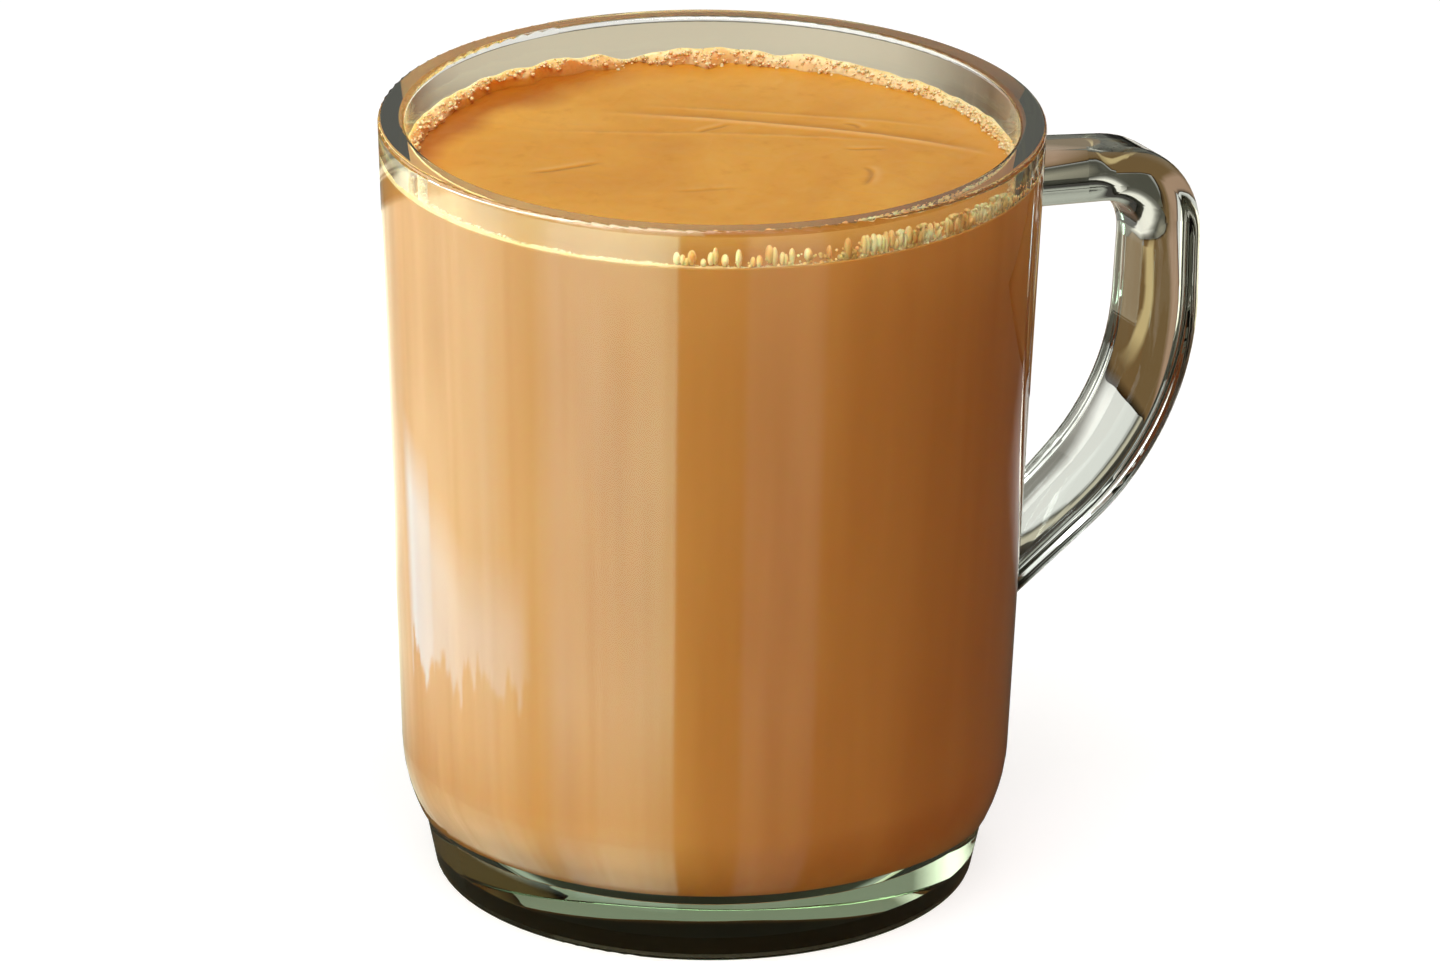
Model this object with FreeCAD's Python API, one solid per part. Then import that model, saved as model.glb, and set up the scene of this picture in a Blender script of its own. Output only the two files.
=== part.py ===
"""A glass mug of masala chai: the pressed-glass mug with its D handle, the milky tea and its froth.

Millimetres, +Z up. The origin is on the mug's axis at the underside of the foot ring, and the
handle points along +X. Heights are measured up from the foot unless a name says otherwise.
"""
import FreeCAD, Part
import math
import os

Vector = FreeCAD.Vector

# Mug body
RIM_RADIUS = 40.0           # outside, at the lip
MUG_HEIGHT = 95.8
RIM_WALL = 3.2              # wall thickness at the lip
LOW_WALL = 3.9              # wall thickness where the bore meets the floor
WALL_TAPER = 0.038          # outside radius lost for each mm below the lip
LIP_OUTER = 0.6             # roundings of the lip's two edges
LIP_INNER = 0.7
SHOULDER_HEIGHT = 12.3      # corner between the tapered wall and the shoulder
SHOULDER_BEND = 20.0
WAIST_HEIGHT = 8.6          # top of the foot
WAIST_INSET = 1.7           # from the shoulder's corner in to the waist
FOOT_LEDGE = 0.6            # step from the waist in to the top of the foot
FOOT_DRAFT = 1.8            # how far the foot narrows down to its underside
FOOT_EDGE = 1.0
FOOT_LAND = 5.5             # width of the ring that the mug stands on, with its outer edge
FLOOR_THICKNESS = 8.5
FLOOR_BEND = 9.0            # rounding between the floor and the bore
RECESS_DEPTH = 1.4          # hollow under the floor
RECESS_SLOPE = 4.0
RECESS_BEND = 3.0

# Handle: a bar of rounded rectangular section, bent into a D
HANDLE_WIDTH = 10.4
HANDLE_EDGE = 2.6
HANDLE_BLEND = 2.4          # fillet where the handle meets the wall
HANDLE_DROP = 9.9           # from the lip down to the top of the upper leg at the wall
UPPER_LEG = 7.5             # thickness of the upper leg at the wall
UPPER_LEG_FALL = 4.0        # from the wall out to the top corner of the D
UPPER_CORNER = 5.5          # thickness measured down at that corner
FINGER_GAP = 19.9           # from the lip's radius out to the grip
GRIP_THICKNESS = 7.6
GRIP_LEAN = 1.3             # the grip's inside leans in toward its lower corner
LOWER_CORNER_HEIGHT = 44.8
LOWER_CORNER = 6.1          # thickness measured up at the lower corner
LOWER_ROOT_HEIGHT = 23.0    # underside of the lower leg, inside the wall
LOWER_ROOT = 7.7            # thickness of the lower leg there
OUTER_TOP_BEND = 12.5
OUTER_LOW_BEND = 33.4
INNER_TOP_BEND = 6.6
INNER_LOW_BEND = 26.0

# Tea
FILL_DROP = 5.9             # from the lip down to the tea
MENISCUS_RISE = 0.7
MENISCUS_WIDTH = 0.9
MENISCUS_BEND = 1.8

# Froth: an uneven ring on the tea, banked against the glass
FROTH_WIDTH = 2.6           # mean width on the tea
FROTH_CREST = 0.4           # share of the width that is left at the top of the bank
FROTH_LOW = 1.5             # height above the tea on its thin side
FROTH_HIGH = 3.4            # height on its thick side
FROTH_HIGH_SIDE = -72.0     # direction of the thick side, in degrees from the handle
FROTH_WAVES = ((2, 0.26, 0.4), (3, 0.22, 2.1), (7, 0.13, 0.9), (13, 0.12, 4.0), (23, 0.09, 1.7))
FROTH_POINTS = 96
LIP_CLEARANCE = 2.0         # froth stays this far below the lip

TOUCH = 0.001               # points nearer than this are one point
SEAM_TOLERANCE = 0.02       # the handle's seam lies this near to the wall's surface
TEA_LEVEL = MUG_HEIGHT - FILL_DROP
FROTH_CEILING = MUG_HEIGHT - LIP_CLEARANCE


def wall_radius(height):
    """Outside radius of the straight tapered wall."""
    return RIM_RADIUS - WALL_TAPER * (MUG_HEIGHT - height)


def bore_radius(height):
    """Inside radius of the mug above its rounded floor."""
    top = RIM_RADIUS - RIM_WALL
    low = wall_radius(FLOOR_THICKNESS) - LOW_WALL
    share = (MUG_HEIGHT - height) / (MUG_HEIGHT - FLOOR_THICKNESS)
    return top + (low - top) * share


def tangent_length(before, corner, after, radius):
    """Length that a rounding of this radius takes from each side of its corner."""
    half_angle = (before - corner).getAngle(after - corner) / 2
    return radius / math.tan(half_angle)


def rounded_outline(corners):
    """Closed wire in the XZ plane through (x, z, radius) corners, rounded by tangent arcs.

    Where two roundings need more than the side between them, both shrink to share it.
    """
    points = [Vector(x, 0, z) for x, z, _ in corners]
    count = len(points)
    lengths = []
    for index, (_, _, radius) in enumerate(corners):
        before = points[index - 1]
        after = points[(index + 1) % count]
        lengths.append(tangent_length(before, points[index], after, radius) if radius else 0.0)
    shares = [1.0] * count
    for index in range(count):
        following = (index + 1) % count
        wanted = lengths[index] + lengths[following]
        side = points[index].distanceToPoint(points[following])
        if wanted > side:
            shares[index] = min(shares[index], side / wanted)
            shares[following] = min(shares[following], side / wanted)
    edges = []
    starts = []
    ends = []
    for index, corner in enumerate(points):
        to_before = (points[index - 1] - corner).normalize()
        to_after = (points[(index + 1) % count] - corner).normalize()
        length = lengths[index] * shares[index]
        starts.append(corner + to_before * length)
        ends.append(corner + to_after * length)
    for index, corner in enumerate(points):
        radius = corners[index][2] * shares[index]
        if radius:
            bisector = ((starts[index] + ends[index]) * 0.5 - corner).normalize()
            to_centre = math.hypot(lengths[index] * shares[index], radius)
            middle = corner + bisector * (to_centre - radius)
            edges.append(Part.Arc(starts[index], middle, ends[index]).toShape())
        following = starts[(index + 1) % count]
        if ends[index].distanceToPoint(following) > TOUCH:
            edges.append(Part.LineSegment(ends[index], following).toShape())
    return Part.Wire(edges)


def turned(corners):
    """Solid of revolution about Z, with its seam on the side away from the handle."""
    solid = Part.Face(rounded_outline(corners)).revolve(Vector(0, 0, 0), Vector(0, 0, 1), 360)
    solid.rotate(Vector(0, 0, 0), Vector(0, 0, 1), 180)
    return solid


def filling(top_corners):
    """Solid that fills the bore from its floor up to the given corners."""
    floor_radius = bore_radius(FLOOR_THICKNESS)
    below = [(0, FLOOR_THICKNESS, 0), (floor_radius, FLOOR_THICKNESS, FLOOR_BEND)]
    return turned(below + top_corners)


def mug_body():
    """Turned glass body: tapered wall, rounded shoulder, drawn-in foot and thick floor."""
    shoulder = wall_radius(SHOULDER_HEIGHT)
    waist = shoulder - WAIST_INSET
    foot_top = waist - FOOT_LEDGE
    foot = foot_top - FOOT_DRAFT
    land = foot - FOOT_LAND
    return turned([
        (0, RECESS_DEPTH, 0),
        (land - RECESS_SLOPE, RECESS_DEPTH, RECESS_BEND),
        (land, 0, 0),
        (foot, 0, FOOT_EDGE),
        (foot_top, WAIST_HEIGHT, 0),
        (waist, WAIST_HEIGHT, 0),
        (shoulder, SHOULDER_HEIGHT, SHOULDER_BEND),
        (RIM_RADIUS, MUG_HEIGHT, LIP_OUTER),
        (RIM_RADIUS - RIM_WALL, MUG_HEIGHT, LIP_INNER),
        (bore_radius(FLOOR_THICKNESS), FLOOR_THICKNESS, FLOOR_BEND),
        (0, FLOOR_THICKNESS, 0),
    ])


def handle_bar():
    """D-shaped bar whose two legs end in the middle of the wall."""
    upper_z = MUG_HEIGHT - HANDLE_DROP
    upper_root = (wall_radius(upper_z) + bore_radius(upper_z)) / 2
    lower_root = (wall_radius(LOWER_ROOT_HEIGHT) + bore_radius(LOWER_ROOT_HEIGHT)) / 2
    corner_z = upper_z - UPPER_LEG_FALL
    grip_inside = RIM_RADIUS + FINGER_GAP
    grip_outside = grip_inside + GRIP_THICKNESS
    outline = rounded_outline([
        (upper_root, upper_z, 0),
        (grip_outside, corner_z, OUTER_TOP_BEND),
        (grip_outside, LOWER_CORNER_HEIGHT, OUTER_LOW_BEND),
        (lower_root, LOWER_ROOT_HEIGHT, 0),
        (lower_root, LOWER_ROOT_HEIGHT + LOWER_ROOT, 0),
        (grip_inside - GRIP_LEAN, LOWER_CORNER_HEIGHT + LOWER_CORNER, INNER_LOW_BEND),
        (grip_inside, corner_z - UPPER_CORNER, INNER_TOP_BEND),
        (upper_root, upper_z - UPPER_LEG, 0),
    ])
    bar = Part.Face(outline).extrude(Vector(0, HANDLE_WIDTH, 0))
    bar.translate(Vector(0, -HANDLE_WIDTH / 2, 0))
    rims = [edge for edge in bar.Edges if edge.BoundBox.YLength < TOUCH and not at_root(edge)]
    return bar.makeFillet(HANDLE_EDGE, rims)


def at_root(edge):
    """True for the upright edges that end the handle's legs inside the wall."""
    box = edge.BoundBox
    return box.XLength < TOUCH and box.XMax < RIM_RADIUS


def is_handle_seam(edge):
    """True for an edge where the handle runs into the outside of the wall."""
    middle = edge.valueAt((edge.FirstParameter + edge.LastParameter) / 2)
    near_handle = middle.x > 0 and abs(middle.y) < HANDLE_WIDTH
    on_wall = abs(math.hypot(middle.x, middle.y) - wall_radius(middle.z)) < SEAM_TOLERANCE
    on_straight_wall = SHOULDER_HEIGHT + SHOULDER_BEND / 2 < middle.z < MUG_HEIGHT - LIP_OUTER
    return near_handle and on_wall and on_straight_wall


def glass_mug():
    """Body and handle in one piece of glass, blended where they meet."""
    mug = mug_body().fuse(handle_bar()).removeSplitter()
    seams = [edge for edge in mug.Edges if is_handle_seam(edge)]
    return mug.makeFillet(HANDLE_BLEND, seams)


def chai():
    """Tea up to its level, with the rim of its surface climbing the glass."""
    contact = TEA_LEVEL + MENISCUS_RISE
    return filling([
        (bore_radius(contact), contact, 0),
        (bore_radius(TEA_LEVEL) - MENISCUS_WIDTH, TEA_LEVEL, MENISCUS_BEND),
        (0, TEA_LEVEL, 0),
    ])


def froth_edge(height, share):
    """Wavy closed wire around the open tea, that share of the froth's width from the glass."""
    points = []
    for index in range(FROTH_POINTS):
        angle = 2 * math.pi * index / FROTH_POINTS
        swell = sum(size * math.sin(waves * angle + start) for waves, size, start in FROTH_WAVES)
        radius = bore_radius(height) - FROTH_WIDTH * share * (1 + swell)
        points.append(Vector(radius * math.cos(angle), radius * math.sin(angle), height))
    curve = Part.BSplineCurve()
    curve.interpolate(points, PeriodicFlag=True)
    return Part.Wire(curve.toShape())


def froth_top():
    """Block of everything above the froth's tilted top."""
    span = 4 * RIM_RADIUS
    block = Part.makeBox(span, span, span, Vector(-span / 2, -span / 2, 0))
    rise = FROTH_HIGH - FROTH_LOW
    tilt = math.degrees(math.atan(rise / (2 * bore_radius(TEA_LEVEL))))
    block.rotate(Vector(0, 0, 0), Vector(0, 1, 0), -tilt)
    block.rotate(Vector(0, 0, 0), Vector(0, 0, 1), FROTH_HIGH_SIDE)
    block.translate(Vector(0, 0, TEA_LEVEL + FROTH_LOW + rise / 2))
    return block


def froth_ring(tea):
    """Ring of froth on the tea, its inside sloping back from a wavy edge to its crest."""
    disc = filling([(bore_radius(FROTH_CEILING), FROTH_CEILING, 0), (0, FROTH_CEILING, 0)]).cut(tea)
    opening = Part.makeLoft([froth_edge(TEA_LEVEL, 1.0), froth_edge(FROTH_CEILING, FROTH_CREST)], True)
    return disc.cut(opening).cut(froth_top())


os.makedirs("parts", exist_ok=True)
tea_solid = chai()
pieces = {
    "glass_mug": glass_mug(),
    "chai": tea_solid,
    "froth_ring": froth_ring(tea_solid),
}
for name, shape in pieces.items():
    shape.exportStep("parts/" + name + ".step")
    box = shape.BoundBox
    print(name, "valid", shape.isValid(), "solids", len(shape.Solids), "volume", round(shape.Volume, 1),
          "box", [round(value, 2) for value in (box.XMin, box.YMin, box.ZMin, box.XMax, box.YMax, box.ZMax)])
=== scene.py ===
"""Looks of a glass mug of masala chai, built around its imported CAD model.

The glass is the CAD node itself. The tea is replaced by a piece with a wrinkled skin that reaches just
into the wall, and the froth ring by a lumpy bank of froth with real bubbles. Metres, +Z up, the origin
under the foot, the handle towards +X.
"""

import math
import random

import bmesh
import bpy
import numpy as np
from mathutils import Matrix, Vector, noise


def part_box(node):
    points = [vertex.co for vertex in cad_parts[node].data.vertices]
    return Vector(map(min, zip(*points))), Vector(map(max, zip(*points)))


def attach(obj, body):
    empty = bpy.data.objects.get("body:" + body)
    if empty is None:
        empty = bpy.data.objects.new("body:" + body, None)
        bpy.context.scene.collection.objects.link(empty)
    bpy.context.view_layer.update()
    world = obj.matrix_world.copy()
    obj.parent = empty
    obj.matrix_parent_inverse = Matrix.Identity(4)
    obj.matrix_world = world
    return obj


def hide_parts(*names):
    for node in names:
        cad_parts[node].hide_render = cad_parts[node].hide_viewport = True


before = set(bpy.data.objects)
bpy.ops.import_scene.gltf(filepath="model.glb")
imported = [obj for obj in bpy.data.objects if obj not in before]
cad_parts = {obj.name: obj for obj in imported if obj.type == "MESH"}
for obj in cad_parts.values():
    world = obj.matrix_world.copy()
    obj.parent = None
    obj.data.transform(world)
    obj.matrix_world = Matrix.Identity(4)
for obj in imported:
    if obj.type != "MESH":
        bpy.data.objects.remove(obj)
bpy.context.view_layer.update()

MM = 0.001

# Camera
CAMERA_AZIMUTH = -120.07        # degrees about +Z, from +X to the camera
CAMERA_ELEVATION = 21.54
CAMERA_DISTANCE = 1.2593
CAMERA_TARGET = Vector((1.1, -1.0, 49.3)) * MM
CAMERA_ROLL = 0.72
CAMERA_LENS = 260.2
CAMERA_SENSOR = 36

# Colours, linear red, green and blue; a ramp gives a place from 0 to 1 and its colour
WHITE = (1, 1, 1)
GLASS_SHADE = (0.93, 0.95, 0.92)        # of lamplight that shines through
GLASS_TINT = (0.5, 0.62, 0.45)
TEA_STREAKS = ((0.3, (0.50, 0.195, 0.036)), (0.7, (0.62, 0.28, 0.066)))
TEA_CLOUD = (0.60, 0.275, 0.066)
# painted shade on the tea's floor, where little light comes through the foot
TEA_BOTTOM_SHADE = (0.030, 0.022, 0.008)
SKIN_CLOUDS = ((0.3, (0.61, 0.255, 0.022)), (0.5, (0.68, 0.31, 0.030)), (0.72, (0.73, 0.365, 0.052)))
SKIN_SPECK = (0.52, 0.21, 0.03)
# painted highlight on the skin's fold crests, and painted shade in their troughs and dark wrinkles
SKIN_HIGHLIGHT = (0.86, 0.55, 0.24)
SKIN_SHADE = (0.36, 0.14, 0.02)
# deep orange of a thin film with painted shadow of the froth at the back, painted shade of the near wall in
# front
SKIN_FILM_AND_SHADE = (0.38, 0.10, 0.002)
FROTH_CLOUDS = ((0.3, (0.86, 0.50, 0.15)), (0.5, (0.93, 0.64, 0.27)), (0.7, (0.95, 0.72, 0.38)))
# deep orange of a tea film on the froth at the back, and painted shade on the froth in front
FROTH_FILM_AND_SHADE = (0.60, 0.23, 0.010)
BUBBLE_CLOUDS = ((0.3, (0.80, 0.50, 0.18)), (0.7, (0.92, 0.72, 0.42)))
CLING_CLOUDS = ((0.34, (0.74, 0.36, 0.10)), (0.5, (0.97, 0.60, 0.24)), (0.66, (1.0, 0.78, 0.42)))
MILK_RADIUS = (1.0, 0.45, 0.15)         # how far each colour of light spreads in the tea
FROTH_RADIUS = (1.0, 0.6, 0.3)
FLOOR_GRAIN = ((0.3, (0.45, 0.45, 0.445)), (0.7, (0.47, 0.47, 0.465)))
FLOOR_WARM = (0.27, 0.17, 0.10)
FLOOR_LIFT = (1.0, 0.62, 0.34)
FLOOR_LIFT_RUN = (0.04, 0.14)           # the lift fades between these distances from the mug, in m
FLOOR_DARK = (0.11, 0.112, 0.088)
WORLD_DIM = (1.0, 0.95, 0.85)

# Tea, lengths in mm unless they are multiplied by MM
EMBED = 0.06 * MM               # how far the tea reaches into the glass
MENISCUS_RUN = 2.2              # width of the rise against the glass
CALM_RUN = 4                    # the skin lies flat over this width from the glass
SKIN_CLOSENESS = 1.25           # draws the skin's rings together near the glass
FLOOR_RINGS = 12
FOLD_FADE = 0.2                 # share of a fold over which each end fades
BOTTOM_SHADE_RADIUS = 27               # painted shade over the middle of the tea's floor
BOTTOM_SHADE_FADE = 5
BOTTOM_SHADE_HEIGHT = 2.0
SWELLS = ((0.16, 15, 0.3), (0.035, 4, 1.7))     # height and breadth of the skin's swells, seed
WRINKLES = (0.03, 6, 5.1)       # the same of its fine wrinkles
WRINKLE_SHARPNESS = 5
SKIN_RINGS = 128
SKIN_SPOKES = 560
WALL_RINGS = 24

# Bands on the skin along the froth, widths in mm, angles in degrees: at the back the deep orange of a thin
# film together with painted shadow of the froth, in front painted shade of the near wall
BAND_WIDTH = 4.0
BAND_WIDEST = 98.0
BAND_WIDEST_SPREAD = 30.0
BAND_MIDDLE = 120.0
BAND_SPREAD = 42.0
BAND_STRENGTH = 1.7
BAND_LIMIT = 0.92
# painted shade of the near wall on the skin in front
FRONT_SHADE_WIDTH = 11
FRONT_SHADE_SPREAD = 70.0
FRONT_SHADE_STRENGTH = 1.6
FRONT_SHADE_LIMIT = 0.6

# Folds of the skin, in mm: four control points of each curve, its half width, height, and painted light,
# positive for a painted highlight on the crest, negative for painted shade along it
FOLDS = (
    (((-3, 22), (12, 9), (23, 3), (32, -15)), 0.55, 0.22, 1.0),
    (((2, 22), (13, 13), (24, 7), (31, -3)), 0.40, 0.08, 0.4),
    (((-14, 20), (-2, 13), (12, 6), (24, -4)), 0.40, 0.07, 0.3),
    (((-21, 7.4), (-18, 6.2), (-15, 6.6), (-11, 6.4)), 0.35, -0.10, -0.8),
    (((4, 10.2), (5, 10.9), (7, 10.6), (9, 11.1)), 0.30, -0.08, -0.7),
    (((21.2, 5.2), (22.4, 4.4), (22.6, 3.6), (22.0, 2.8)), 0.30, -0.08, -0.8),
    (((16.5, -2.4), (18, -4.0), (20, -4.2), (21.5, -5.2)), 0.30, -0.07, -0.6),
    (((15.4, -9.4), (16.4, -11), (14.6, -13), (12.2, -15.2)), 0.35, -0.09, -0.8),
    (((-9, -6), (-6, -8), (-4, -7.4), (-1, -9)), 0.35, -0.05, -0.4),
    (((-27, -3), (-25, -7), (-23, -9), (-22, -13)), 0.40, -0.06, -0.4),
)
FOLD_SAMPLES = 28
TROUGH_AWAY = 2.2               # the trough beside a fold, as shares of the fold's own width,
TROUGH_WIDTH = 1.6
TROUGH_DEPTH = 0.5              # height
TROUGH_SHADE = 0.55              # and painted shade

# Froth, angles in degrees about +Z from the handle
FROTH_SPOKES = 1200
FROTH_STEPS = 16
FROTH_CREST = 1.0 * MM          # height of the bank above the tea
FROTH_CLIMB = 92.0              # where the bank climbs highest up the glass
FROTH_CLIMB_SPREAD = 70.0
FROTH_SEAT = 0.4 * MM           # depth of the bank's underside in the tea
FROTH_LUMPS = ((700, 0.16 * MM), (1800, 0.07 * MM))     # lumps per metre and their height
BANK_MIDDLE = 118.0             # the widest part of the bank
BANK_SPREAD = 44.0
TONGUE = 61.0                   # a small tongue of froth on the tea
TONGUE_SPREAD = 1.8
BARE = 76.0                     # hardly any froth beside it
BARE_SPREAD = 7.0
FILM_MIDDLE = 106.0             # where a film of tea shows on the bank's slope
FILM_SPREAD = 44.0
FILM_EDGE = 0.72                # how far down the slope the film starts,
FILM_EDGE_CHANGES = ((90, 26, -0.16), (150, 28, 0.15))  # and where it shifts: middle, spread, by
FILM_RAGGEDNESS = 0.4
FILM_SOFTNESS = 0.12
FRONT_FROTH_SHADE = 0.6                # painted shade on the froth in front, in the film's colour
FRONT_FROTH_SHADE_SPREAD = 62.0
CLING_MIDDLE = -78.0            # where bubbles cling to the glass above the tea
CLING_SPREAD = 46.0
CLING_RISE = 2.5 * MM
FROTH_WIDTH = 1.15              # width of the froth on the tea, in mm
FROTH_LEAST = 0.25
WIDTH_CHANGES = (               # where it is wider or narrower: middle, spread and change in mm
    (BANK_MIDDLE, BANK_SPREAD, -0.1),
    (TONGUE, TONGUE_SPREAD, 1.2),
    (BARE, BARE_SPREAD, -0.6),
    (CLING_MIDDLE, CLING_SPREAD, -0.6),
)
FROTH_BUBBLES = 2300
FROTH_BUBBLE_SIZES = (0.10, 0.22)       # radius in mm: the least, and what chance adds
FILM_HIDES = 0.7                # no fine bubbles where the film is stronger than this
CLING_BUBBLES = 500
CLING_BUBBLE_SIZES = (0.12, 0.22)
DROP_WIDTHS = (0.30, 0.52)      # half width of a drop in mm, from and to
DROP_HEIGHTS = (0.5, 1.0)       # half height of a drop in mm, before it grows along the row
CLING_DROPS = 92                # long drops that hang in a row on the glass
CLING_FROM = -126.0
CLING_TO = -36.0

# Light on the table as the wall mirrors it: side in degrees and colour, then height in mm and share
WINDOW_SIDES = (
    (-89, (1.0, 1.0, 0.75)),
    (-78, (1.2, 1.15, 0.85)),
    (-70, (1.35, 1.2, 0.85)),
    (-60, (2.3, 2.4, 1.8)),
    (-52, (3.0, 3.3, 2.5)),
    (-44, (2.2, 3.2, 2.9)),
    (-38, (1.9, 2.5, 2.0)),
    (-33, (1.5, 2.1, 1.5)),
    (-28, (2.4, 3.3, 3.0)),
    (-15, (3.2, 4.1, 3.3)),
    (-6, (2.0, 3.0, 2.3)),
    (-5.2, (0.0, 0.0, 0.0)),
    (6, (0.0, 0.0, 0.0)),
    (7.5, (0.7, 0.65, 0.6)),
    (20, (0.6, 0.55, 0.5)),
    (21.5, (0.0, 0.0, 0.0)),
)
WINDOW_HEIGHTS = (
    (0.4, 0.0),
    (1.0, 0.75),
    (5.5, 0.85),
    (8.5, 0.7),
    (13, 0.45),
    (26, 1.0),
    (88.4, 1.0),
    (89.6, 0.05),
    (93.4, 0.05),
    (93.8, 0.7),
    (94.2, 0.15),
    (94.6, 0.9),
    (95.4, 0.9),
    (96.0, 0.1),
    (97.0, 0.1),
)
WINDOW_ROWS = ((0.3, 90, 120), (90.3, 97.2, 36))        # first and last height, and how many rows
WINDOW_COLUMNS = 240
WINDOW_LIFT = 1.2 * MM          # of the card above the table
STREAKS = ((0.16, 1.6, 70, 4), (0.22, 6, 22, 9))        # strength, width in degrees, length in mm, seed
PATCH_SIDES = (-73, -34)        # a cooler patch with a ragged foot
PATCH_FOOT = 25.5
PATCH_RAGS = ((6, 4, 2), (4, 1.3, 6))   # height in mm, width in degrees, seed
PATCH_TOP = 34
PATCH_RISE_FROM = -50           # beyond this side the top rises
PATCH_RISE = 0.8                # by so many mm for a degree
PATCH_TOP_REACH = 8
PATCH_TOP_RUN = 10
PATCH_COLOUR = (0.6, 1.8, 2.6)
LIP_SIDES = (-66, -17)          # a broad pale gleam below the lip
LIP_HEIGHTS = (92.0, 96.5)
LIP_COLOUR = (1.6, 2.8, 4.2)
CARD_STEPS = 16
CARD_LIFT = 0.8 * MM            # of a card that lies on the table
SKY_COLUMNS = 24
SKY_SOFTNESS = 0.15
FLOOR_REACH = 8.0               # half the floor's width

tea_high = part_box("chai")[1]
froth_low, froth_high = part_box("froth_ring")
mug_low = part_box("glass_mug")[0]
CONTACT = tea_high.z            # where the tea's edge meets the glass
LEVEL = froth_low.z             # the open tea
BORE = tea_high.x               # the bore's radius at the contact
BORE_SLOPE = 0.046              # radius gained for each metre up
WALL_RADIUS = 38.5 * MM         # outside of the wall, half way up
MIDDLE = Vector((0, 0, 0.05))   # of the mug, where the lamps look


# ---------------------------------------------------------------- helpers

def node_profile(name):
    """Radius of a turned CAD node at each of its heights, as two arrays."""
    cos = np.array([v.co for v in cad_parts[name].data.vertices])
    heights = np.round(cos[:, 2], 5)
    radii = np.hypot(cos[:, 0], cos[:, 1])
    levels = np.unique(heights)
    return levels, np.array([radii[heights == level].max() for level in levels])


def mesh_object(name, verts, faces):
    """New mesh object from arrays of points and faces."""
    mesh = bpy.data.meshes.new(name)
    mesh.from_pydata([tuple(v) for v in verts], [], [tuple(int(i) for i in f) for f in faces])
    mesh.validate()
    mesh.polygons.foreach_set("use_smooth", [True] * len(mesh.polygons))
    obj = bpy.data.objects.new(name, mesh)
    bpy.context.scene.collection.objects.link(obj)
    return obj


def turned_grid(rows, spokes):
    """Quads between rows of points that all go round the axis, each row with that many points."""
    faces = []
    for row in range(rows - 1):
        for spoke in range(spokes):
            after = (spoke + 1) % spokes
            faces.append((row * spokes + spoke, row * spokes + after,
                          (row + 1) * spokes + after, (row + 1) * spokes + spoke))
    return faces


class Nodes:
    """Short way to build a material's node tree."""

    def __init__(self, name):
        self.material = bpy.data.materials.new(name)
        self.material.use_nodes = True
        self.tree = self.material.node_tree
        self.tree.nodes.clear()
        self.output = self.add("ShaderNodeOutputMaterial")

    def add(self, kind, **values):
        """New node; a value whose name is one of its inputs sets that input, or links it to a socket."""
        node = self.tree.nodes.new(kind)
        for key, value in values.items():
            name = key.replace("_", " ")
            if hasattr(node, key) and name not in node.inputs:
                setattr(node, key, value)
            else:
                self.put(node.inputs[name], value)
        return node

    def put(self, socket, value):
        """Link a socket's output to the input, or set the input to a value; a colour gets its alpha."""
        if isinstance(value, bpy.types.NodeSocket):
            self.tree.links.new(value, socket)
        elif socket.type == "RGBA":
            socket.default_value = (*value, 1.0)
        else:
            socket.default_value = value

    def noise(self, vector, detail, scale=1.0, distortion=0.0):
        """Noise at a place."""
        node = self.add("ShaderNodeTexNoise", Scale=scale, Detail=detail, Roughness=0.55,
                        Distortion=distortion, Vector=vector)
        return node.outputs["Fac"]

    def attribute(self, name):
        """Node that reads an attribute of the mesh."""
        return self.add("ShaderNodeAttribute", attribute_name=name)

    def place(self):
        """The object's own coordinates."""
        return self.add("ShaderNodeTexCoord").outputs["Object"]

    def stretched(self, x, y, z):
        """The object's own coordinates, scaled along each axis."""
        node = self.add("ShaderNodeMapping", Vector=self.place())
        node.inputs["Scale"].default_value = (x, y, z)
        return node.outputs["Vector"]

    def ramp(self, factor, stops):
        """Colour at a factor, between the stops of a ramp."""
        node = self.add("ShaderNodeValToRGB", Fac=factor)
        elements = node.color_ramp.elements
        while len(elements) < len(stops):
            elements.new(0.5)
        for element, (position, colour) in zip(elements, stops):
            element.position = position
            element.color = (*colour, 1.0)
        return node.outputs["Color"]

    def span(self, factor, low, high, out_low, out_high):
        """A factor's range low to high, stretched to another range."""
        node = self.add("ShaderNodeMapRange", Value=factor)
        names = ("From Min", "From Max", "To Min", "To Max")
        for name, value in zip(names, (low, high, out_low, out_high)):
            node.inputs[name].default_value = value
        return node.outputs["Result"]

    def blend(self, factor, first, second):
        """Colour between two colours."""
        node = self.add("ShaderNodeMix", data_type="RGBA", Factor=factor)
        self.put(node.inputs[6], first)
        self.put(node.inputs[7], second)
        return node.outputs[2]

    def bump(self, height, distance, strength):
        """Normal over a relief."""
        node = self.add("ShaderNodeBump", Height=height, Distance=distance, Strength=strength)
        return node.outputs["Normal"]

    def mix(self, share, first, second):
        """Shader between two shaders."""
        node = self.add("ShaderNodeMixShader")
        for socket, value in zip(node.inputs, (share, first.outputs[0], second.outputs[0])):
            self.put(socket, value)
        return node

    def sum(self, first, second):
        """Two shaders added."""
        node = self.add("ShaderNodeAddShader")
        for socket, value in zip(node.inputs, (first.outputs[0], second.outputs[0])):
            self.put(socket, value)
        return node

    def finish(self, surface, volume=None):
        """The finished material."""
        self.put(self.output.inputs["Surface"], surface)
        if volume:
            self.put(self.output.inputs["Volume"], volume)
        return self.material


# ---------------------------------------------------------------- materials

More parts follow.
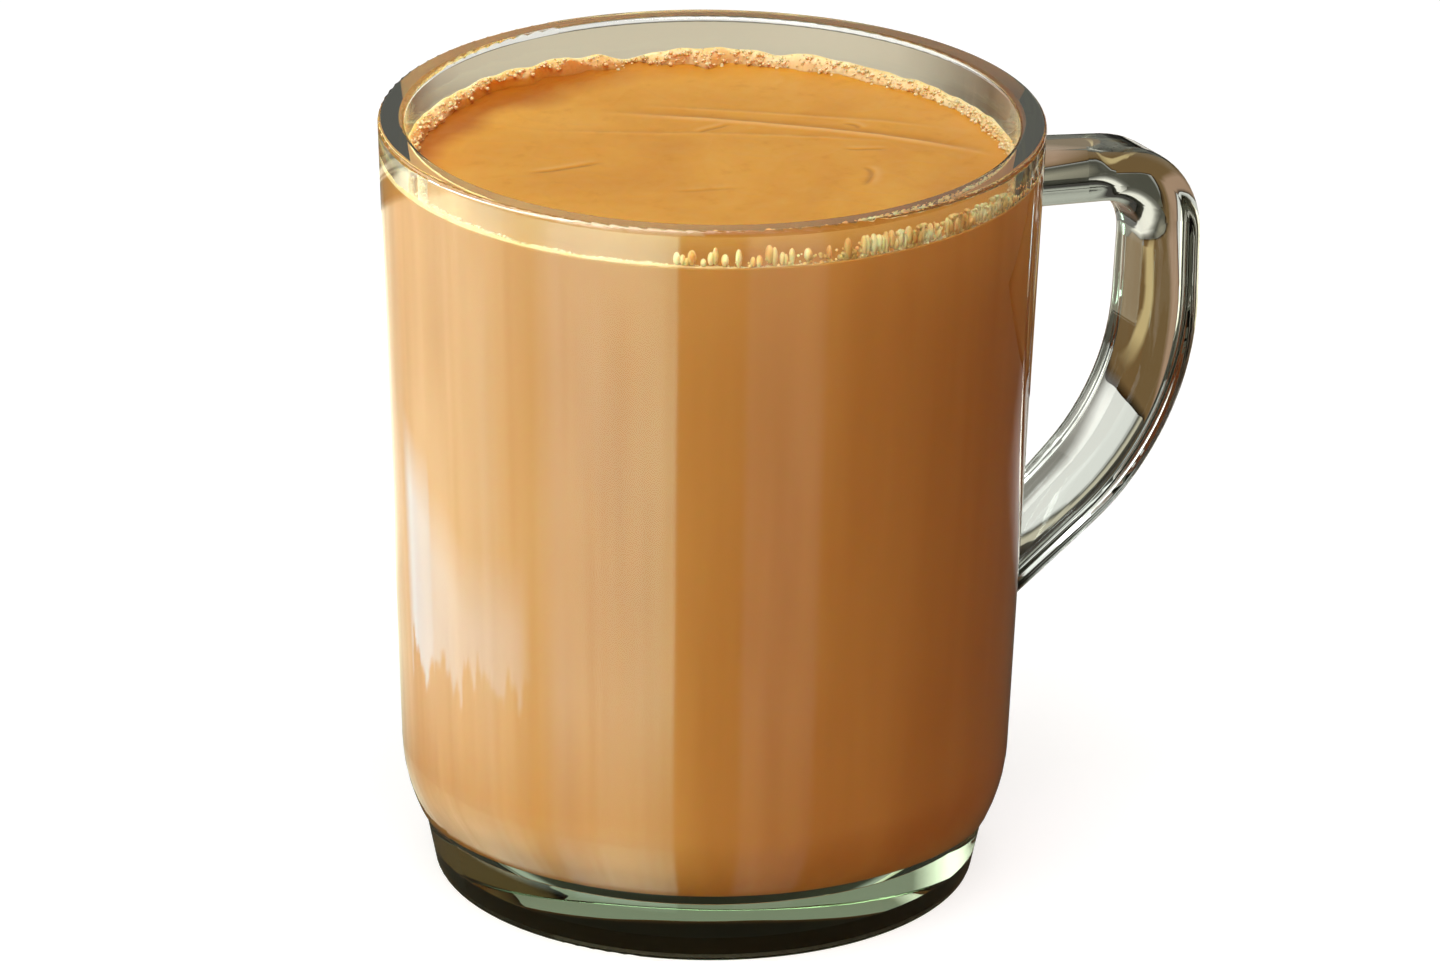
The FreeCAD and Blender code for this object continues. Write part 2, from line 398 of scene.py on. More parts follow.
def glass_material():
    """Clear pressed glass: faint ripples, a grey-green tint where thick, and lamps shine through it."""
    m = Nodes("clear_glass")
    ripple = m.noise(m.stretched(60, 60, 25), detail=1.0)
    shader = m.add("ShaderNodeBsdfPrincipled", Base_Color=WHITE, Roughness=0.0, IOR=1.5,
                   Transmission_Weight=1.0, Normal=m.bump(ripple, 0.0002, 0.35))
    open_way = m.add("ShaderNodeBsdfTransparent", Color=GLASS_SHADE)
    lamp_ray = m.add("ShaderNodeLightPath").outputs["Is Shadow Ray"]
    mix = m.mix(lamp_ray, shader, open_way)
    tint = m.add("ShaderNodeVolumeAbsorption", Color=GLASS_TINT, Density=30.0)
    return m.finish(mix.outputs[0], tint.outputs[0])


def tea_side_material():
    """Milky tea seen through the glass: upright streaks, slow clouds, and painted shade on the middle of
    the bottom.
    """
    m = Nodes("tea_side")
    streaks = m.noise(m.stretched(120, 120, 8), detail=3.0)
    clouds = m.noise(m.stretched(30, 30, 22), detail=2.0)
    colour = m.ramp(streaks, TEA_STREAKS)
    colour = m.blend(m.span(clouds, 0.35, 0.7, 0.0, 0.6), colour, TEA_CLOUD)
    # painted shade on the middle of the tea's floor
    colour = m.blend(m.attribute("bottom_shade").outputs["Fac"], colour, TEA_BOTTOM_SHADE)
    shader = m.add("ShaderNodeBsdfPrincipled", Base_Color=colour, Roughness=0.5, Subsurface_Weight=0.5,
                   Subsurface_Scale=0.0015, Subsurface_Radius=MILK_RADIUS, Specular_IOR_Level=0.05)
    return m.finish(shader.outputs[0])


def tea_skin_material():
    """Thin skin on milky tea: mottled orange-tan, with a painted highlight on its folds and painted shade
    in their troughs; along the froth, the deep orange of a thin film with painted shade.
    """
    m = Nodes("tea_skin")
    clouds = m.noise(m.stretched(45, 45, 45), detail=4.0, distortion=0.6)
    specks = m.noise(m.stretched(420, 420, 420), detail=6.0)
    fold_shading = m.attribute("fold_shading").outputs["Fac"]
    colour = m.ramp(clouds, SKIN_CLOUDS)
    colour = m.blend(m.span(specks, 0.58, 0.72, 0.0, 0.3), colour, SKIN_SPECK)
    # painted highlight on the folds' crests, painted shade in their troughs and the dark wrinkles
    colour = m.blend(m.span(fold_shading, 0.0, 1.0, 0.0, 0.6), colour, SKIN_HIGHLIGHT)
    colour = m.blend(m.span(fold_shading, 0.0, -0.9, 0.0, 0.8), colour, SKIN_SHADE)
    # along the froth: thin film with painted shadow at the back, painted shade in front
    colour = m.blend(m.attribute("skin_film_and_shade").outputs["Fac"], colour, SKIN_FILM_AND_SHADE)
    shader = m.add("ShaderNodeBsdfPrincipled", Base_Color=colour,
                   Roughness=m.span(specks, 0.3, 0.7, 0.32, 0.46), Subsurface_Weight=0.4,
                   Subsurface_Scale=0.0012, Subsurface_Radius=MILK_RADIUS, Specular_IOR_Level=0.2,
                   Normal=m.bump(specks, 0.00008, 0.5))
    return m.finish(shader.outputs[0])


def froth_material():
    """Pale yellow-cream froth with a fine cell pattern, over a film of deep orange tea at the back; the
    same orange is painted shade on it in front.
    """
    m = Nodes("froth_cream")
    pattern = m.add("ShaderNodeTexVoronoi", Scale=1.0, Vector=m.stretched(1700, 1700, 1700))
    cells = pattern.outputs["Distance"]
    colour = m.ramp(m.noise(m.stretched(160, 160, 160), detail=3.0), FROTH_CLOUDS)
    # tea film on the froth at the back, painted shade in front
    colour = m.blend(m.attribute("film_and_shade").outputs["Fac"], colour, FROTH_FILM_AND_SHADE)
    shader = m.add("ShaderNodeBsdfPrincipled", Base_Color=colour, Roughness=0.4, Subsurface_Weight=0.5,
                   Subsurface_Scale=0.002, Subsurface_Radius=FROTH_RADIUS,
                   Normal=m.bump(cells, 0.00012, 0.5))
    return m.finish(shader.outputs[0])


def bubble_material():
    """Wet skin of the fine bubbles: froth colour under a gloss."""
    m = Nodes("froth_wet")
    colour = m.ramp(m.noise(m.stretched(500, 500, 500), detail=2.0), BUBBLE_CLOUDS)
    shader = m.add("ShaderNodeBsdfPrincipled", Base_Color=colour, Roughness=0.2,
                   Subsurface_Weight=0.4, Subsurface_Scale=0.001)
    return m.finish(shader.outputs[0])


def cling_material():
    """Tea-coloured film of the bubbles on the glass, from pale peach to orange-brown."""
    m = Nodes("clinging_wet")
    colour = m.ramp(m.noise(m.stretched(420, 420, 160), detail=2.0), CLING_CLOUDS)
    shader = m.add("ShaderNodeBsdfPrincipled", Base_Color=colour, Roughness=0.4, Subsurface_Weight=0.5,
                   Subsurface_Scale=0.0012, Specular_IOR_Level=0.12)
    return m.finish(shader.outputs[0])


def floor_material():
    """Matt white table to the camera; warm where it lights the tea; dark olive where the glass shows it."""
    m = Nodes("floor_white")
    grain = m.ramp(m.noise(m.place(), detail=5.0, scale=9.0), FLOOR_GRAIN)
    white = m.add("ShaderNodeBsdfDiffuse", Color=grain)
    glow = m.add("ShaderNodeEmission", Color=WHITE, Strength=0.72)
    reach = m.add("ShaderNodeVectorMath", operation="LENGTH")
    m.put(reach.inputs[0], m.place())
    warm = m.add("ShaderNodeBsdfDiffuse", Color=FLOOR_WARM)
    lift = m.add("ShaderNodeEmission", Color=FLOOR_LIFT,
                 Strength=m.span(reach.outputs["Value"], *FLOOR_LIFT_RUN, 0.45, 0.0))
    dark = m.add("ShaderNodeBsdfDiffuse", Color=FLOOR_DARK)
    path = m.add("ShaderNodeLightPath")
    scattered = m.add("ShaderNodeMath", operation="GREATER_THAN")
    m.put(scattered.inputs[0], path.outputs["Diffuse Depth"])
    m.put(scattered.inputs[1], 0.5)
    unseen = m.mix(scattered.outputs[0], dark, m.sum(warm, lift))
    return m.finish(m.mix(path.outputs["Is Camera Ray"], unseen, m.sum(white, glow)).outputs[0])


def card_material(name, solid):
    """Light painted on a card's mesh. Unless the card is solid, its light is added to what lies beyond."""
    m = Nodes(name)
    light = m.add("ShaderNodeEmission", Color=m.attribute("glow").outputs["Color"], Strength=1.0)
    if solid:
        return m.finish(light.outputs[0])
    beyond = m.add("ShaderNodeBsdfTransparent", Color=WHITE)
    return m.finish(m.sum(light, beyond).outputs[0])


# ---------------------------------------------------------------- tea

def bezier(points, count):
    """Points along a cubic Bezier curve."""
    on = np.linspace(0, 1, count)[:, None]
    back = 1 - on
    a, b, c, d = (np.array(point, float) for point in points)
    return back ** 3 * a + 3 * back ** 2 * on * b + 3 * back * on ** 2 * c + on ** 3 * d


def signed_distance(places, line):
    """Distance of each place from a line of points, negative on its left; also how far along it is."""
    best = np.full(len(places), np.inf)
    side = np.zeros(len(places))
    along = np.zeros(len(places))
    for index in range(len(line) - 1):
        start = line[index]
        step = line[index + 1] - start
        offset = places - start
        share = np.clip(offset @ step / (step @ step), 0, 1)
        gap = offset - share[:, None] * step
        distance = np.hypot(gap[:, 0], gap[:, 1])
        nearer = distance < best
        best[nearer] = distance[nearer]
        side[nearer] = np.sign(step[0] * gap[:, 1] - step[1] * gap[:, 0])[nearer]
        along[nearer] = (index + share[nearer]) / (len(line) - 1)
    return best * -side, along


def noise_field(places, scale, seed):
    """Smooth noise at each place, scale in mm."""
    return np.array([noise.noise(Vector((x / scale, y / scale, seed))) for x, y in places])


def skin_relief(places):
    """Height of the skin over the tea's level in mm, and its painted highlight and shade, at places in mm.
    """
    radius = np.hypot(places[:, 0], places[:, 1])
    bore = BORE / MM
    rise = (CONTACT - LEVEL) / MM
    edge = np.clip(1 - (bore - radius) / MENISCUS_RUN, 0, 1)
    calm = np.clip((bore - radius) / CALM_RUN, 0, 1)
    height = rise * edge ** 2
    height += calm * sum(tall * noise_field(places, broad, seed) for tall, broad, seed in SWELLS)
    tall, broad, seed = WRINKLES
    ridges = 1 - np.abs(noise_field(places, broad, seed)) * WRINKLE_SHARPNESS
    height += calm * tall * np.clip(ridges, 0, 1) ** 2
    fold_shading = np.zeros(len(places))
    # each fold: a raised crest with a painted highlight, a lowered trough with painted shade
    for points, width, fold, shading in FOLDS:
        gap, along = signed_distance(places, bezier(points, FOLD_SAMPLES))
        fade = np.clip(np.minimum(along, 1 - along) / FOLD_FADE, 0, 1) * calm
        crest = np.exp(-(gap / width) ** 2) * fade
        trough = np.exp(-((gap + TROUGH_AWAY * width) / (TROUGH_WIDTH * width)) ** 2) * fade
        height += fold * (crest - TROUGH_DEPTH * trough)
        fold_shading += shading * (crest - TROUGH_SHADE * trough)
    return height, fold_shading


def froth_shadow(places):
    """How strong the bands along the froth are: at the back a thin film with the froth's painted shadow, in
    front painted shade of the near wall.
    """
    radius = np.hypot(places[:, 0], places[:, 1])
    angle = np.degrees(np.arctan2(places[:, 1], places[:, 0]))
    inner = np.array([froth_width(a) for a in angle]) / MM
    inside = (BORE / MM - radius) - inner
    width = BAND_WIDTH + BAND_WIDTH * bell(angle, BAND_WIDEST, BAND_WIDEST_SPREAD)
    width = width * (1 + 0.5 * noise_field(places, 7, 3.3))
    bank = BAND_STRENGTH * bell(angle, BAND_MIDDLE, BAND_SPREAD) * (1 - inside / width)
    bank = np.clip(bank, 0, BAND_LIMIT)
    # painted shade of the near wall on the skin in front
    fall = np.clip(FRONT_SHADE_STRENGTH - FRONT_SHADE_STRENGTH * inside / FRONT_SHADE_WIDTH, 0, 1)
    front = FRONT_SHADE_LIMIT * bell(angle, CLING_MIDDLE - 15, FRONT_SHADE_SPREAD) * fall
    return np.maximum(bank, front)


def bore_at(height):
    """Radius of the bore at a height near the tea's level."""
    return BORE + (height - CONTACT) * BORE_SLOPE


def tea_rows():
    """Radius and height of the tea's rings: floor, side, then skin, whose height is still open.

    Also how many rings come before the skin.
    """
    levels, radii = node_profile("chai")
    wetted = levels < LEVEL - 0.5 * MM
    levels = np.append(levels[wetted], CONTACT)
    radii = np.append(radii[wetted], BORE)
    bend_top = levels[-2]
    bend = levels[(levels > levels[0]) & (levels < bend_top)]
    rows = [(radii[0] * share, levels[0] - EMBED) for share in np.linspace(0.02, 1, FLOOR_RINGS)]
    for height in np.concatenate([bend, np.linspace(bend_top, CONTACT, WALL_RINGS)]):
        rows.append((np.interp(height, levels, radii) + EMBED, height))
    skin = [(BORE * (1 - (1 - share) ** SKIN_CLOSENESS), None)
            for share in np.linspace(1, 0, SKIN_RINGS + 1)[1:-1]]
    return rows + skin, len(rows)


def tea_faces(rows, floor_centre, skin_centre):
    """Faces of the tea: quads between its rings and a fan at each centre."""
    faces = turned_grid(rows, SKIN_SPOKES)
    last = (rows - 1) * SKIN_SPOKES
    for spoke in range(SKIN_SPOKES):
        after = (spoke + 1) % SKIN_SPOKES
        faces.append((after, spoke, floor_centre))
        faces.append((last + spoke, last + after, skin_centre))
    return faces


def add_shares(piece, name, values):
    """Attribute on the piece's points that its material reads."""
    piece.data.attributes.new(name, "FLOAT", "POINT").data.foreach_set("value", values)


def make_tea():
    """Tea: its sides and floor follow the bore, a little inside the glass, and its top is the skin."""
    rows, side_rows = tea_rows()
    bottom = rows[0][1]
    turns = np.linspace(0, 2 * math.pi, SKIN_SPOKES, endpoint=False)
    ring = np.stack([np.cos(turns), np.sin(turns)], 1)
    verts = np.concatenate([np.column_stack([ring * radius, np.full(SKIN_SPOKES, height or 0.0)])
                            for radius, height in rows])
    verts = np.concatenate([verts, [(0, 0, bottom), (0, 0, 0)]])
    floor_centre, skin_centre = len(verts) - 2, len(verts) - 1
    skin = np.arange(len(verts)) >= side_rows * SKIN_SPOKES
    skin[floor_centre] = False
    places = verts[skin][:, :2] / MM
    relief, fold_shading = skin_relief(places)
    verts[skin, 2] = LEVEL + relief * MM
    tea = mesh_object("chai_drink", verts, tea_faces(len(rows), floor_centre, skin_centre))
    for name, values in (("fold_shading", fold_shading), ("skin_film_and_shade", froth_shadow(places))):
        shares = np.zeros(len(verts))
        shares[skin] = values
        add_shares(tea, name, shares)
    # painted shade on the middle of the tea's floor, fading out towards the wall and upwards
    reach = np.hypot(verts[:, 0], verts[:, 1]) / MM
    low = (verts[:, 2] - bottom - EMBED) / MM
    middle = np.clip((BOTTOM_SHADE_RADIUS - reach) / BOTTOM_SHADE_FADE, 0, 1)
    add_shares(tea, "bottom_shade", middle * np.clip(BOTTOM_SHADE_HEIGHT - low, 0, 1))
    tea.data.materials.append(tea_side_material())
    tea.data.materials.append(tea_skin_material())
    skin[(side_rows - 1) * SKIN_SPOKES:side_rows * SKIN_SPOKES] = True
    for polygon in tea.data.polygons:
        polygon.material_index = int(all(skin[v] for v in polygon.vertices))
    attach(tea, "root")
    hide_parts("chai")


# ---------------------------------------------------------------- froth

def bell(angle, middle, spread):
    """Smooth rise and fall round the ring, 1 at its middle."""
    turn = (angle - middle + 180) % 360 - 180
    return np.exp(-(turn / spread) ** 2)


def outward(angle):
    """Unit vector away from the axis at that angle."""
    turn = math.radians(angle)
    return Vector((math.cos(turn), math.sin(turn), 0))


def froth_noise(angle, waves, seed):
    """Noise round the ring, about that many lumps to the turn."""
    reach = waves / (2 * math.pi)
    turn = math.radians(angle)
    return noise.noise(Vector((math.cos(turn) * reach, math.sin(turn) * reach, seed)))


def froth_width(angle):
    """Width of the froth on the tea at that angle."""
    bank = bell(angle, BANK_MIDDLE, BANK_SPREAD)
    scallops = (0.4 + 0.5 * bank) * froth_noise(angle, 50, 2.0) + 0.3 * froth_noise(angle, 120, 3.0)
    width = FROTH_WIDTH
    for middle, spread, change in WIDTH_CHANGES:
        width += change * bell(angle, middle, spread)
    return max(FROTH_LEAST, width + scallops) * MM


def froth_point(angle, share):
    """Point on the froth's surface, from the glass (share 0) to its inner edge (share 1)."""
    ragged = 1 + 0.3 * froth_noise(angle, 70, 7.0)
    bare = 1 - 0.5 * bell(angle, BARE, BARE_SPREAD) - 0.45 * bell(angle, CLING_MIDDLE, CLING_SPREAD)
    climb = 1 + bell(angle, FROTH_CLIMB, FROTH_CLIMB_SPREAD)
    crest = FROTH_CREST * ragged * bare * climb
    height = LEVEL + 0.05 * MM + crest * math.cos(share * math.pi / 2) ** 0.7
    radius = bore_at(height) - froth_width(angle) * share
    turn = math.radians(angle)
    return Vector((radius * math.cos(turn), radius * math.sin(turn), height))


def froth_film_and_shade(angle, share):
    """How much of the tea's film shows on the froth's slope, and in front how deep the painted shade on the
    froth is.
    """
    edge = FILM_EDGE
    for middle, spread, change in FILM_EDGE_CHANGES:
        edge += change * bell(angle, middle, spread)
    edge += FILM_RAGGEDNESS * froth_noise(angle, 90, 5.0)
    shown = min(1.0, max(0.0, (share - edge) / FILM_SOFTNESS))
    # painted shade on the froth in front
    front = FRONT_FROTH_SHADE * bell(angle, CLING_MIDDLE - 20, FRONT_FROTH_SHADE_SPREAD)
    return max(bell(angle, FILM_MIDDLE, FILM_SPREAD) * shown, front)


def froth_column(angle):
    """Points of one section of the froth bank, from the glass over the crest and back underneath."""
    column = []
    for step in range(FROTH_STEPS):
        share = step / (FROTH_STEPS - 1)
        point = froth_point(angle, share)
        lump = sum(height * noise.noise(point * scale) for scale, height in FROTH_LUMPS)
        column.append(point + Vector((0, 0, lump * math.sin(math.pi * share) ** 0.5)))
    top = column[0].z
    under = LEVEL - FROTH_SEAT
    column[0] = outward(angle) * (bore_at(top) + EMBED) + Vector((0, 0, top))
    column.append(Vector((column[-1].x, column[-1].y, under)))
    column.append(outward(angle) * (bore_at(under) + EMBED / 2) + Vector((0, 0, under)))
    return column


def make_froth():
    """Bank of froth against the glass: a ring of changing width and height, softly lumpy."""
    rows = FROTH_STEPS + 2
    verts, film_and_shade, faces = [], [], []
    for spoke in range(FROTH_SPOKES):
        angle = 360 * spoke / FROTH_SPOKES
        verts += froth_column(angle)
        film_and_shade += [froth_film_and_shade(angle, min(1.0, step / (FROTH_STEPS - 1))) for step in range(rows)]
        here, after = spoke * rows, (spoke + 1) % FROTH_SPOKES * rows
        for step in range(rows):
            following = (step + 1) % rows
            faces.append((here + step, here + following, after + following, after + step))
    froth = mesh_object("froth_bank", verts, faces)
    add_shares(froth, "film_and_shade", film_and_shade)
    froth.data.materials.append(froth_material())
    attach(froth, "root")
    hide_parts("froth_ring")


def unit_bubble():
    """Points and faces of a ball of radius 1."""
    mesh = bpy.data.meshes.new("unit_bubble")
    form = bmesh.new()
    bmesh.ops.create_icosphere(form, subdivisions=2, radius=1)
    form.to_mesh(mesh)
    form.free()
    points = np.array([v.co for v in mesh.vertices])
    faces = np.array([p.vertices for p in mesh.polygons])
    bpy.data.meshes.remove(mesh)
    return points, faces


def joined_balls(name, balls, material):
    """One mesh of many balls, each given by its centre and the lengths of its three half axes."""
    points, faces = unit_bubble()
    verts = [points * np.array(axes) + np.array(centre) for centre, axes in balls]
    fans = [faces + index * len(points) for index in range(len(balls))]
    piece = mesh_object(name, np.concatenate(verts), np.concatenate(fans))
    piece.data.materials.append(material)
    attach(piece, "root")


def make_froth_bubbles():
    """Fine bubbles that show at the froth's surface, half sunk in it."""
    chance = random.Random(7)
    balls = []
    for _ in range(FROTH_BUBBLES):
        angle = chance.uniform(-180, 180)
        size = (FROTH_BUBBLE_SIZES[0] + FROTH_BUBBLE_SIZES[1] * chance.random() ** 4) * MM
        share = chance.random() ** 0.7
        if froth_film_and_shade(angle, share) > FILM_HIDES:
            continue
        spot = froth_point(angle, share)
        sunk = Vector((0, 0, -0.35 * size))
        balls.append((spot + sunk - outward(angle) * size, (size, size, size * 0.8)))
    joined_balls("froth_bubbles", balls, bubble_material())


def cling_drops(chance):
    """Row of long drops on the glass above the tea, as centres and half axes."""
    balls = []
    for index in range(CLING_DROPS):
        share = (index + chance.uniform(-0.3, 0.3)) / CLING_DROPS
        angle = CLING_FROM + (CLING_TO - CLING_FROM) * share
        wide = chance.uniform(*DROP_WIDTHS) * MM
        growth = 0.4 + 1.1 * math.sin(math.pi * min(1.0, 0.1 + share)) ** 0.7
        tall = chance.uniform(*DROP_HEIGHTS) * growth * MM
        if chance.random() < 0.35 - 0.3 * share:
            continue
        height = CONTACT + tall * chance.uniform(0.9, 1.4)
        height = min(height, froth_high.z - tall)
        centre = outward(angle) * (bore_at(height) - wide * 0.55) + Vector((0, 0, height))
        balls.append((centre, (wide, wide, tall)))
    return balls


def cling_balls(chance):
    """Small bubbles on the glass above the tea, as centres and half axes."""
    balls = []
    for _ in range(CLING_BUBBLES):
        angle = chance.gauss(CLING_MIDDLE + 6, CLING_SPREAD * 0.42)
        size = (CLING_BUBBLE_SIZES[0] + CLING_BUBBLE_SIZES[1] * chance.random() ** 2) * MM
        rise = CLING_RISE * bell(angle, CLING_MIDDLE + 10, CLING_SPREAD) * chance.random() ** 1.5
        height = min(CONTACT + rise, froth_high.z - size)
        centre = outward(angle) * (bore_at(height) - size * 0.7) + Vector((0, 0, height))
        balls.append((centre, (size, size, size)))
    return balls


def make_cling():
    """Drops and bubbles that cling to the glass above the tea."""
    chance = random.Random(11)
    joined_balls("clinging_bubbles", cling_drops(chance) + cling_balls(chance), cling_material())


# ---------------------------------------------------------------- studio

def direction(azimuth, elevation):
    """Unit vector; azimuth is measured from the camera's side, positive to the right of the picture."""
    a = math.radians(CAMERA_AZIMUTH + azimuth)
    e = math.radians(elevation)
    return Vector((math.cos(a) * math.cos(e), math.sin(a) * math.cos(e), math.sin(e)))


def facing(location, target, roll=0.0):
    """Matrix of a camera or lamp at location that looks at target."""
    back = (location - target).normalized()
    level = Vector((0, 0, 1)).cross(back).normalized()
    upward = back.cross(level)
    angle = math.radians(roll)
    right = level * math.cos(angle) + upward * math.sin(angle)
    up = upward * math.cos(angle) - level * math.sin(angle)
    matrix = Matrix((right, up, back)).transposed().to_4x4()
    matrix.translation = location
    return matrix


def make_camera():
    """Camera at the photograph's angle."""
    data = bpy.data.cameras.new("camera")
    data.lens = CAMERA_LENS
    data.sensor_width = CAMERA_SENSOR
    data.clip_end = 50
    camera = bpy.data.objects.new("camera", data)
    bpy.context.scene.collection.objects.link(camera)
    spot = CAMERA_TARGET + direction(0, CAMERA_ELEVATION) * CAMERA_DISTANCE
    camera.matrix_world = facing(spot, CAMERA_TARGET, CAMERA_ROLL)
    bpy.context.scene.camera = camera


def soft_box(name, azimuth, elevation, distance, width, height, power, colour=WHITE):
    """Area lamp that looks at the middle of the mug."""
    data = bpy.data.lights.new(name, "AREA")
    data.shape = "RECTANGLE"
    data.size = width
    data.size_y = height
    data.energy = power
    data.color = colour
    lamp = bpy.data.objects.new(name, data)
    bpy.context.scene.collection.objects.link(lamp)
    lamp.matrix_world = facing(MIDDLE + direction(azimuth, elevation) * distance, MIDDLE)
    return lamp


def make_floor():
    """Plain table under the mug's foot."""
    signs = ((-1, -1), (1, -1), (1, 1), (-1, 1))
    corners = [(x * FLOOR_REACH, y * FLOOR_REACH, mug_low.z) for x, y in signs]
    floor = mesh_object("floor", corners, [(0, 1, 2, 3)])
    floor.data.materials.append(floor_material())


def make_card(name, rows, glow, material):
    """Card that only mirrors and glass see: a grid of points, with a colour of light for each."""
    count = len(rows[0])
    verts = [point for row in rows for point in row]
    faces = []
    for row in range(len(rows) - 1):
        for column in range(count - 1):
            first = row * count + column
            faces.append((first, first + 1, first + count + 1, first + count))
    card = mesh_object(name, verts, faces)
    shades = np.column_stack([np.array(glow), np.ones(len(verts))])
    card.data.attributes.new("glow", "FLOAT_COLOR", "POINT").data.foreach_set("color", shades.ravel())
    card.data.materials.append(material)
    card.visible_camera = False
    card.visible_diffuse = False
    card.visible_shadow = False


def fading(share, soft):
    """1 inside a range that runs from 0 to 1, down to 0 over its soft ends."""
    return max(0.0, min(1.0, share / soft, (1 - share) / soft))


def read_off(table, place):
    """Value between the rows of a table of places and values."""
    places = [row[0] for row in table]
    values = np.array([row[1] for row in table], float).reshape(len(table), -1)
    return np.array([np.interp(place, places, column) for column in values.T])


def share_of(limits, value):
    """How far a value is on the way from the first limit to the second."""
    return (value - limits[0]) / (limits[1] - limits[0])


def patch_share(side, height):
    """How strong the cooler patch of the window light is, from 0 to 1."""
    foot = PATCH_FOOT
    for tall, width, seed in PATCH_RAGS:
        foot += tall * noise.noise(Vector((side / width, 0, seed)))
    top = PATCH_TOP + PATCH_RISE * max(0.0, PATCH_RISE_FROM - side)
    up = min(1.0, max(0.0, height - foot), max(0.0, (top + PATCH_TOP_REACH - height) / PATCH_TOP_RUN))
    return fading(share_of(PATCH_SIDES, side), 0.08) * up


def window_light(side, height):
    """Colour of the light that the wall mirrors at that side, in degrees, and height, in mm."""
    streak = 1
    for strength, width, length, seed in STREAKS:
        streak += strength * noise.noise(Vector((side / width, height / length, seed)))
    light = read_off(WINDOW_SIDES, side) * read_off(WINDOW_HEIGHTS, height) * streak
    gleam = fading(share_of(LIP_SIDES, side), 0.3) * (LIP_HEIGHTS[0] < height < LIP_HEIGHTS[1])
    return light + patch_share(side, height) * np.array(PATCH_COLOUR) + gleam * np.array(LIP_COLOUR)


def make_window():
    """Card on the table that lies where the mug's wall mirrors it to the camera.

    A side is the angle about the axis from the camera. A ray from the camera that meets the wall there
    leaves at twice that angle and comes down to the table as steeply as the camera looks.
    """
    run = 1 / math.tan(math.radians(CAMERA_ELEVATION))
    heights = np.concatenate([np.linspace(*limits) for limits in WINDOW_ROWS])
    rows, glow = [], []
    for height in heights:
        row = []
        for side in np.linspace(WINDOW_SIDES[0][0], WINDOW_SIDES[-1][0], WINDOW_COLUMNS):
            row.append(direction(side, 0) * WALL_RADIUS + direction(2 * side, 0) * height * MM * run
                       + Vector((0, 0, WINDOW_LIFT)))
            glow.append(window_light(side, height))
        rows.append(row)
    make_card("window_light", rows, glow, LIGHT)


def between(limits, share):
    """Value at a share of the way from the first limit to the second."""
    return limits[0] + (limits[1] - limits[0]) * share


def level_card(name, right, behind, colour, material, height=CARD_LIFT, soft=0.2):
    """Level card that the glass shows, placed in mm to the camera's right and behind the mug's axis."""
    across, away = direction(90, 0), direction(180, 0)
    rows, glow = [], []
    for step in range(CARD_STEPS + 1):
        along = step / CARD_STEPS
        row = []
        for column in range(CARD_STEPS + 1):
            side = column / CARD_STEPS
            place = across * between(right, side) + away * between(behind, along)
            row.append(place * MM + Vector((0, 0, height)))
            glow.append(np.array(colour) * fading(side, soft) * fading(along, soft))
        rows.append(row)
    make_card(name, rows, glow, material)


def sky_patch(name, azimuths, elevations, colour, distance=1.6):
    """Part of a dome of light that only mirrors and glass see."""
    rows, glow = [], []
    for step in range(CARD_STEPS + 1):
        up = step / CARD_STEPS
        row = []
        for column in range(SKY_COLUMNS + 1):
            across = column / SKY_COLUMNS
            row.append(direction(between(azimuths, across), between(elevations, up)) * distance)
            glow.append(np.array(colour) * fading(across, SKY_SOFTNESS) * fading(up, SKY_SOFTNESS))
        rows.append(row)
    make_card(name, rows, glow, LIGHT)


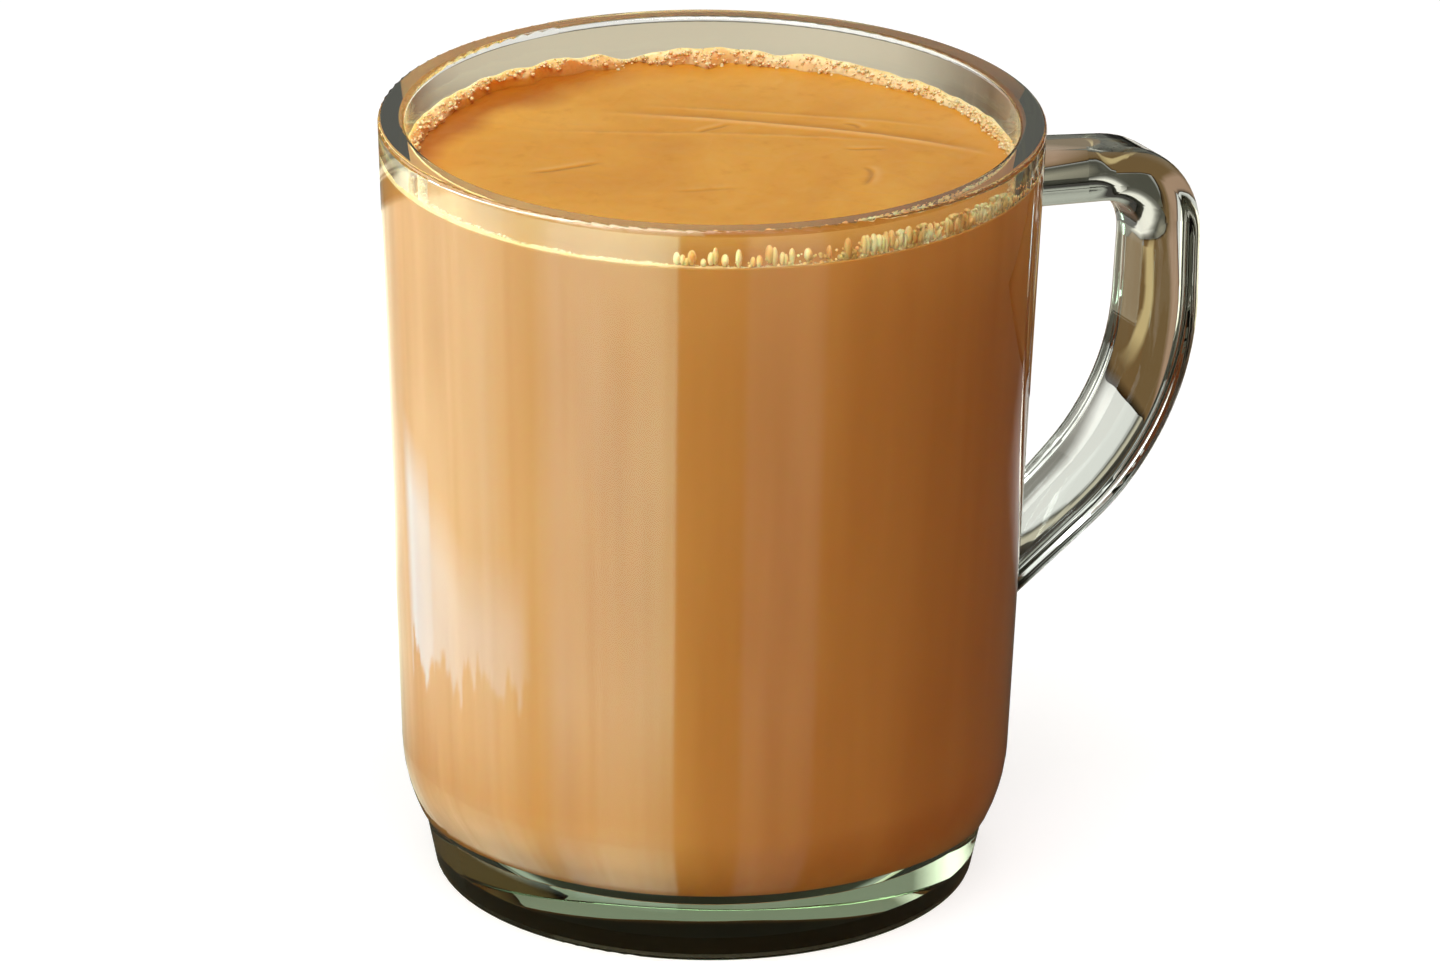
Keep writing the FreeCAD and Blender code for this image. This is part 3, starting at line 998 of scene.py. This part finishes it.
def make_world():
    """Pale to the camera, dim to everything else, so that the glass has dark edges."""
    world = bpy.data.worlds.new("studio")
    world.use_nodes = True
    tree = world.node_tree
    tree.nodes.clear()
    output = tree.nodes.new("ShaderNodeOutputWorld")
    mix = tree.nodes.new("ShaderNodeMixShader")
    path = tree.nodes.new("ShaderNodeLightPath")
    tree.links.new(path.outputs["Is Camera Ray"], mix.inputs[0])
    for socket, colour, strength in ((mix.inputs[1], WORLD_DIM, 0.06), (mix.inputs[2], WHITE, 1.0)):
        light = tree.nodes.new("ShaderNodeBackground")
        light.inputs["Color"].default_value = (*colour, 1)
        light.inputs["Strength"].default_value = strength
        tree.links.new(light.outputs[0], socket)
    tree.links.new(mix.outputs[0], output.inputs["Surface"])
    bpy.context.scene.world = world


# ---------------------------------------------------------------- stage

make_camera()
make_floor()
make_world()
soft_box("key", azimuth=-24, elevation=26, distance=1.1, width=0.9, height=0.9, power=1.55)
soft_box("overhead", azimuth=-14, elevation=76, distance=1.4, width=1.0, height=1.0, power=18.3)
warm_fill = soft_box("warm_fill", azimuth=58, elevation=16, distance=1.2, width=0.8, height=0.6,
                     power=3.0, colour=(1.0, 0.12, 0.04))
warm_fill.visible_glossy = False
warm_fill.visible_transmission = False

LIGHT = card_material("card_light", solid=False)
SHELF = card_material("card_shelf", solid=True)
SHELF_TOP = 45 * MM
SHELF_PAINT = 45.5 * MM
make_window()
sky_patch("window_sky", azimuths=(-140, -12), elevations=(8, 80), colour=(4.0, 3.9, 3.6))
sky_patch("sky_above", azimuths=(-50, 70), elevations=(34, 88), colour=(1.2, 1.2, 1.2), distance=1.7)
sky_patch("room_behind", azimuths=(100, 262), elevations=(8, 55), colour=(0.48, 0.49, 0.42))
level_card("pale_behind", right=(-90, 62), behind=(236, 480), colour=(0.54, 0.49, 0.37), material=LIGHT)
level_card("white_behind", right=(-110, 130), behind=(80, 236), colour=(0.78, 0.78, 0.76), material=LIGHT)
level_card("white_right", right=(62, 240), behind=(236, 900), colour=(1.0, 0.96, 0.86), material=LIGHT)
level_card("shelf_dark", right=(28, 104), behind=(40, 114), colour=(0.19, 0.114, 0.046), material=SHELF,
           height=SHELF_TOP, soft=0.02)
level_card("shelf_stripe", right=(55.5, 61.5), behind=(46, 116), colour=(0.45, 0.37, 0.19), material=LIGHT,
           height=SHELF_PAINT, soft=0.25)
level_card("shelf_rose", right=(28, 46), behind=(46, 116), colour=(0.26, 0.18, 0.15), material=LIGHT,
           height=SHELF_PAINT, soft=0.25)
bpy.context.scene.view_settings.view_transform = "Standard"


# ---------------------------------------------------------------- mug

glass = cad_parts["glass_mug"]
glass.data.materials.clear()
glass.data.materials.append(glass_material())
make_tea()
make_froth()
make_froth_bubbles()
make_cling()
